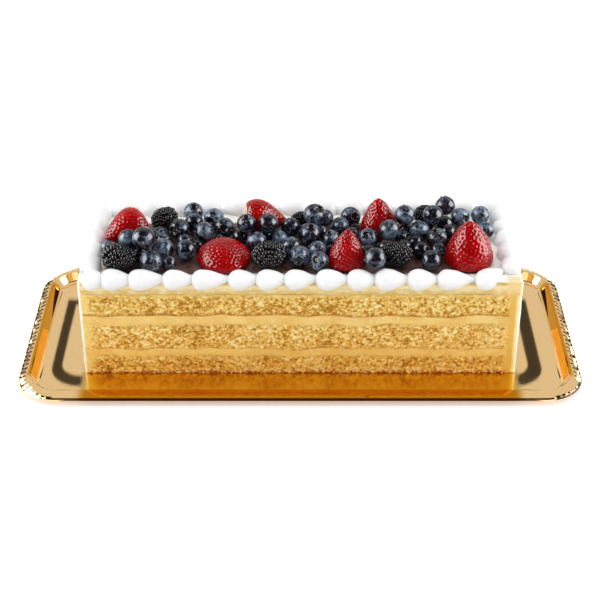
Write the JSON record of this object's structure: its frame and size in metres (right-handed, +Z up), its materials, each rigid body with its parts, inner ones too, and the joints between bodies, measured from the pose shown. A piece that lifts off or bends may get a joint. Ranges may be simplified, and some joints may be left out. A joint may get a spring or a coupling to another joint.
{
  "type": "cream cake",
  "caption": "Long rectangular layer cake on a gilt tray: sponge and custard show at the cut sides, cream on top, a piped border and a heap of mixed berries.",
  "frame": {"origin": "middle of the tray's footprint, on the surface that it stands on", "axes": "+Z up, +X along the cake to the right of someone facing its cut front, +Y from the front to the back"},
  "size_m": [0.396, 0.172, 0.1102],
  "materials": {
    "gilt_card": "gilt foil on card, bright, with fine pleats at the edge",
    "sponge_crumb": "open, torn crumb, matt",
    "custard_filling": "smooth, moist, slightly translucent",
    "whipped_cream": "spread cream, satin, translucent at the edges",
    "piped_cream": "smooth, satin, translucent",
    "blueberry_skin": "dark skin with a dusty grey-blue bloom and soft bright highlights",
    "strawberry_skin": "glossy red skin with seeds in pits",
    "bramble_skin": "glossy, nearly black drupelets"
  },
  "bodies": {
    "root": {"blueberry_01": "blueberry_skin", "blueberry_02": "blueberry_skin", "blueberry_03": "blueberry_skin", "blueberry_04": "blueberry_skin", "blueberry_05": "blueberry_skin", "blueberry_06": "blueberry_skin", "blueberry_07": "blueberry_skin", "blueberry_08": "blueberry_skin", "blueberry_09": "blueberry_skin", "blueberry_10": "blueberry_skin", "blueberry_11": "blueberry_skin", "blueberry_12": "blueberry_skin", "blueberry_13": "blueberry_skin", "blueberry_14": "blueberry_skin", "blueberry_15": "blueberry_skin", "blueberry_16": "blueberry_skin", "blueberry_17": "blueberry_skin", "blueberry_18": "blueberry_skin", "blueberry_19": "blueberry_skin", "blueberry_20": "blueberry_skin", "blueberry_21": "blueberry_skin", "blueberry_22": "blueberry_skin", "blueberry_23": "blueberry_skin", "blueberry_24": "blueberry_skin", "blueberry_25": "blueberry_skin", "blueberry_26": "blueberry_skin", "blueberry_27": "blueberry_skin", "blueberry_28": "blueberry_skin", "blueberry_29": "blueberry_skin", "blueberry_30": "blueberry_skin", "blueberry_31": "blueberry_skin", "blueberry_32": "blueberry_skin", "blueberry_33": "blueberry_skin", "blueberry_34": "blueberry_skin", "blueberry_35": "blueberry_skin", "blueberry_36": "blueberry_skin", "blueberry_37": "blueberry_skin", "blueberry_38": "blueberry_skin", "blueberry_39": "blueberry_skin", "blueberry_40": "blueberry_skin", "bramble_1": "bramble_skin", "bramble_2": "bramble_skin", "bramble_3": "bramble_skin", "bramble_4": "bramble_skin", "bramble_5": "bramble_skin", "bramble_6": "bramble_skin", "cake_board": "gilt_card", "cream_coat": "whipped_cream", "custard_lower": "custard_filling", "custard_upper": "custard_filling", "piped_border": "piped_cream", "sponge_bottom": "sponge_crumb", "sponge_middle": "sponge_crumb", "sponge_top": "sponge_crumb", "strawberry_1": "strawberry_skin", "strawberry_2": "strawberry_skin", "strawberry_3": "strawberry_skin", "strawberry_4": "strawberry_skin", "strawberry_5": "strawberry_skin", "strawberry_6": "strawberry_skin"}
  },
  "joints": []
}
